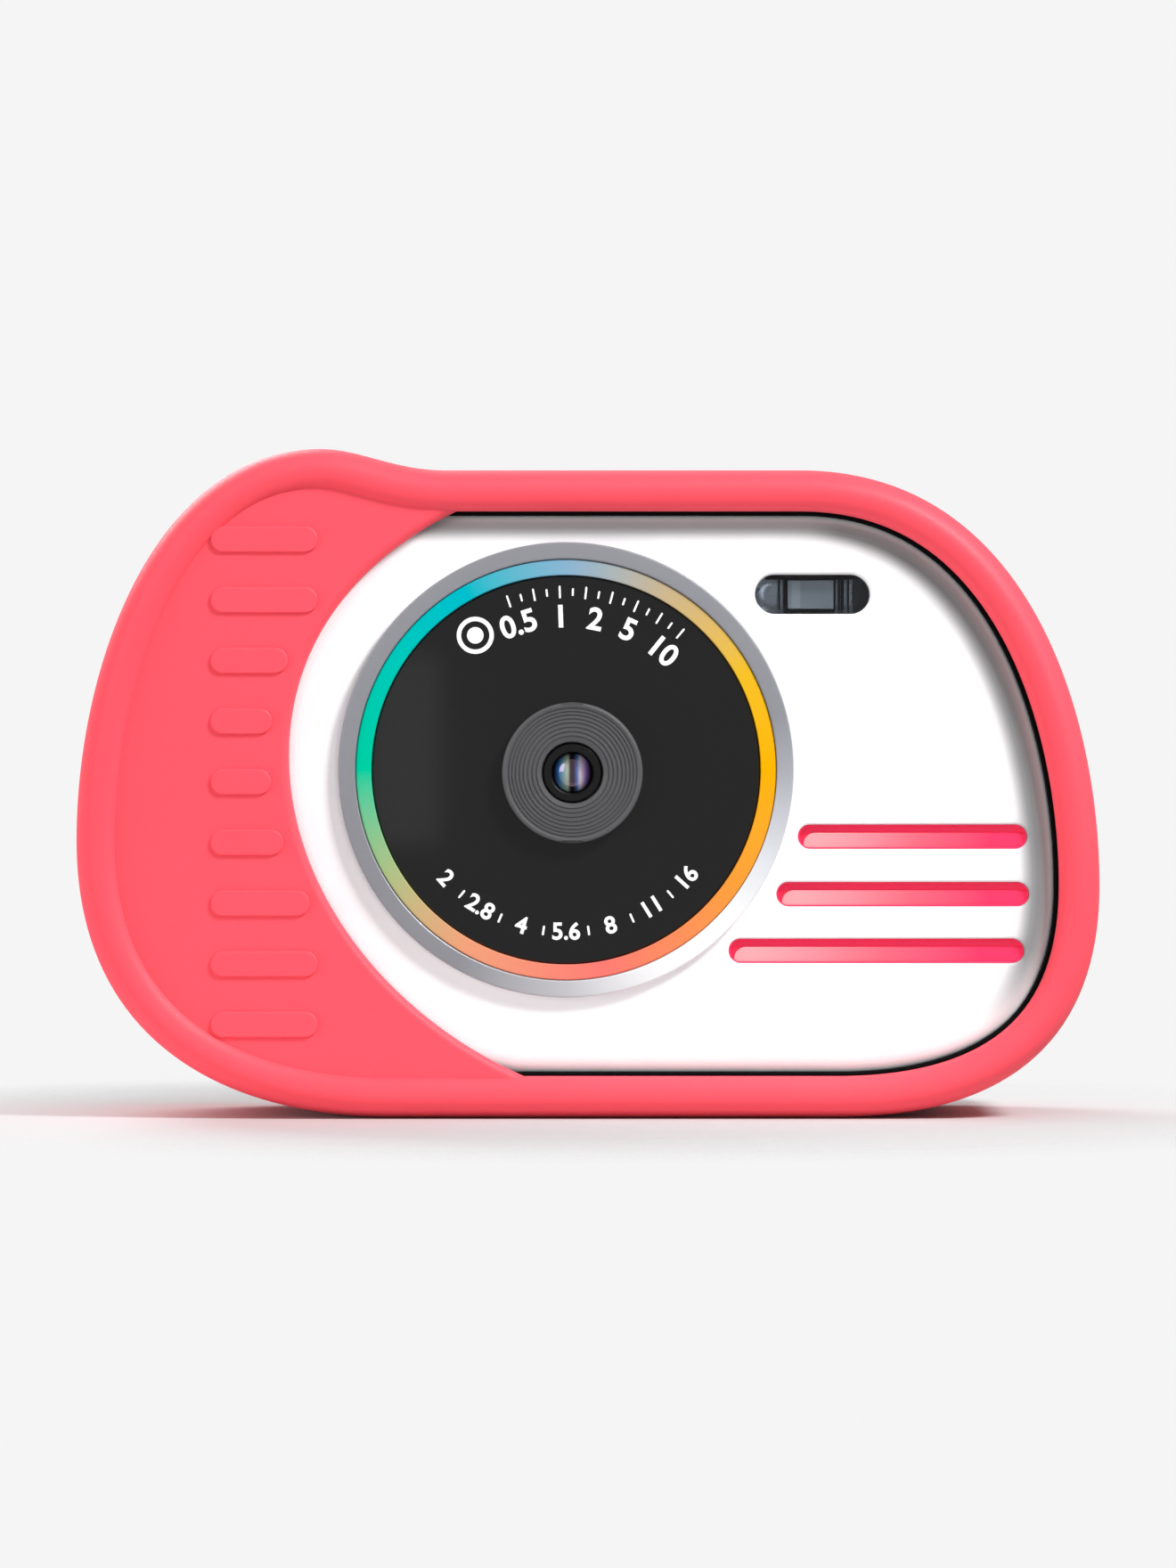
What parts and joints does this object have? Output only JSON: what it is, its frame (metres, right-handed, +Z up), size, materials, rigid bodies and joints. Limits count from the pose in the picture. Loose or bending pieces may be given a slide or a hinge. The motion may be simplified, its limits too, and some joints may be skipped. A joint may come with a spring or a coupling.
{
  "type": "child's digital camera",
  "caption": "Compact child's digital camera in a rounded silicone sleeve, with a round lens surround, a flash window, a rear screen with keys, and a hinged port door.",
  "frame": {"origin": "middle of the flat base, at half of the width and half of the depth", "axes": "+X to the right seen from the front, +Y from the lens side to the screen side, +Z up"},
  "size_m": [0.105, 0.03, 0.0686],
  "materials": {
    "silicone": "matt coral silicone, slightly soft to the touch",
    "white_cover": "satin white moulded plastic with a fine texture",
    "seal": "black rubber",
    "silver_trim": "satin silver paint over moulded plastic",
    "colour_print": "rainbow print round the ring, satin",
    "lens_black": "glossy black acrylic with a white print",
    "carrier": "dark grey moulded plastic",
    "bezel_grey": "dark grey plastic with turned grooves",
    "barrel_black": "black anodised lens barrel",
    "lens_glass": "coated lens glass",
    "filter_glass": "pink infrared filter",
    "flash_window": "smoky clear plastic with vertical ribs",
    "reflector": "bright metallised reflector",
    "led": "yellow phosphor",
    "slot_red": "pink-red moulded plastic",
    "key_white": "white plastic keys with a grey print",
    "key_coral": "coral plastic button",
    "screen_black": "glossy black screen window",
    "lcd": "display panel, switched off",
    "steel": "stamped or drawn steel",
    "board": "green circuit board",
    "chip": "black moulded component",
    "cell_foil": "laminated foil pouch",
    "foam": "black foam",
    "membrane": "grey silicone key mat",
    "film": "amber flexible circuit",
    "wire_red": "red wire insulation",
    "wire_black": "black wire insulation",
    "connector": "cream connector housing"
  },
  "bodies": {
    "housing": {"silicone_sleeve": "silicone", "front_cover": "white_cover", "rear_cover": "white_cover", "face_seal": "seal", "body_gasket": "seal", "lens_ring": "silver_trim", "color_ring": "colour_print", "lens_window": "lens_black", "window_carrier": "carrier", "lens_holder": "carrier", "lens_bezel": "bezel_grey", "lens_barrel": "barrel_black", "front_lens": "lens_glass", "middle_lens": "lens_glass", "rear_lens": "lens_glass", "infrared_filter": "filter_glass", "flash_window": "flash_window", "flash_reflector": "reflector", "flash_led": "led", "slot_insert": "slot_red", "screen_window": "screen_black", "screen_panel": "lcd", "screen_frame": "steel", "hinge_pin": "steel", "usb_socket": "steel", "card_socket": "steel", "microphone": "steel", "strap_bar": "steel", "housing_screw_1": "steel", "housing_screw_2": "steel", "housing_screw_3": "steel", "housing_screw_4": "steel", "camera_board": "board", "flash_board": "board", "key_board": "board", "main_board": "board", "image_sensor": "chip", "shutter_switch": "chip", "power_switch": "chip", "processor_chip": "chip", "speaker": "chip", "battery": "cell_foil", "battery_pad": "foam", "key_mat": "membrane", "camera_ribbon": "film", "battery_lead_red": "wire_red", "battery_lead_black": "wire_black", "battery_socket": "connector"},
    "shutter": {"shutter_button": "key_coral"},
    "power": {"power_button": "key_coral"},
    "ok_key": {"ok_button": "key_coral"},
    "up_key": {"up_button": "key_white"},
    "down_key": {"down_button": "key_white"},
    "left_key": {"left_button": "key_white"},
    "right_key": {"right_button": "key_white"},
    "menu_key": {"menu_button": "key_white"},
    "playback_key": {"playback_button": "key_white"},
    "door": {"port_door": "silicone", "port_seal": "seal"},
    "card": {"memory_card": "chip"}
  },
  "joints": [
    {"name": "shutter_press", "type": "slide", "parent": "housing", "child": "shutter", "axis": [0, 0, -1], "range_m": [0, 0.0008], "stiffness_N_per_m": 400, "springref_m": -0.0005},
    {"name": "power_press", "type": "slide", "parent": "housing", "child": "power", "axis": [0, 0, -1], "range_m": [0, 0.0006], "stiffness_N_per_m": 400, "springref_m": -0.0005},
    {"name": "ok_press", "type": "slide", "parent": "housing", "child": "ok_key", "axis": [0, -1, 0], "range_m": [0, 0.0005], "stiffness_N_per_m": 300, "springref_m": -0.0005},
    {"name": "up_press", "type": "slide", "parent": "housing", "child": "up_key", "axis": [0, -1, 0], "range_m": [0, 0.0005], "stiffness_N_per_m": 300, "springref_m": -0.0005},
    {"name": "down_press", "type": "slide", "parent": "housing", "child": "down_key", "axis": [0, -1, 0], "range_m": [0, 0.0005], "stiffness_N_per_m": 300, "springref_m": -0.0005},
    {"name": "left_press", "type": "slide", "parent": "housing", "child": "left_key", "axis": [0, -1, 0], "range_m": [0, 0.0005], "stiffness_N_per_m": 300, "springref_m": -0.0005},
    {"name": "right_press", "type": "slide", "parent": "housing", "child": "right_key", "axis": [0, -1, 0], "range_m": [0, 0.0005], "stiffness_N_per_m": 300, "springref_m": -0.0005},
    {"name": "menu_press", "type": "slide", "parent": "housing", "child": "menu_key", "axis": [0, -1, 0], "range_m": [0, 0.0005], "stiffness_N_per_m": 300, "springref_m": -0.0005},
    {"name": "playback_press", "type": "slide", "parent": "housing", "child": "playback_key", "axis": [0, -1, 0], "range_m": [0, 0.0005], "stiffness_N_per_m": 300, "springref_m": -0.0005},
    {"name": "port_door_hinge", "type": "hinge", "parent": "housing", "child": "door", "pos_m": [0.05, 0.0099, 0.0255], "axis": [0, 0, 1], "range_deg": [0, 95]},
    {"name": "card_slide", "type": "slide", "parent": "housing", "child": "card", "axis": [1, 0, 0], "range_m": [-0.0006, 0.003]}
  ]
}
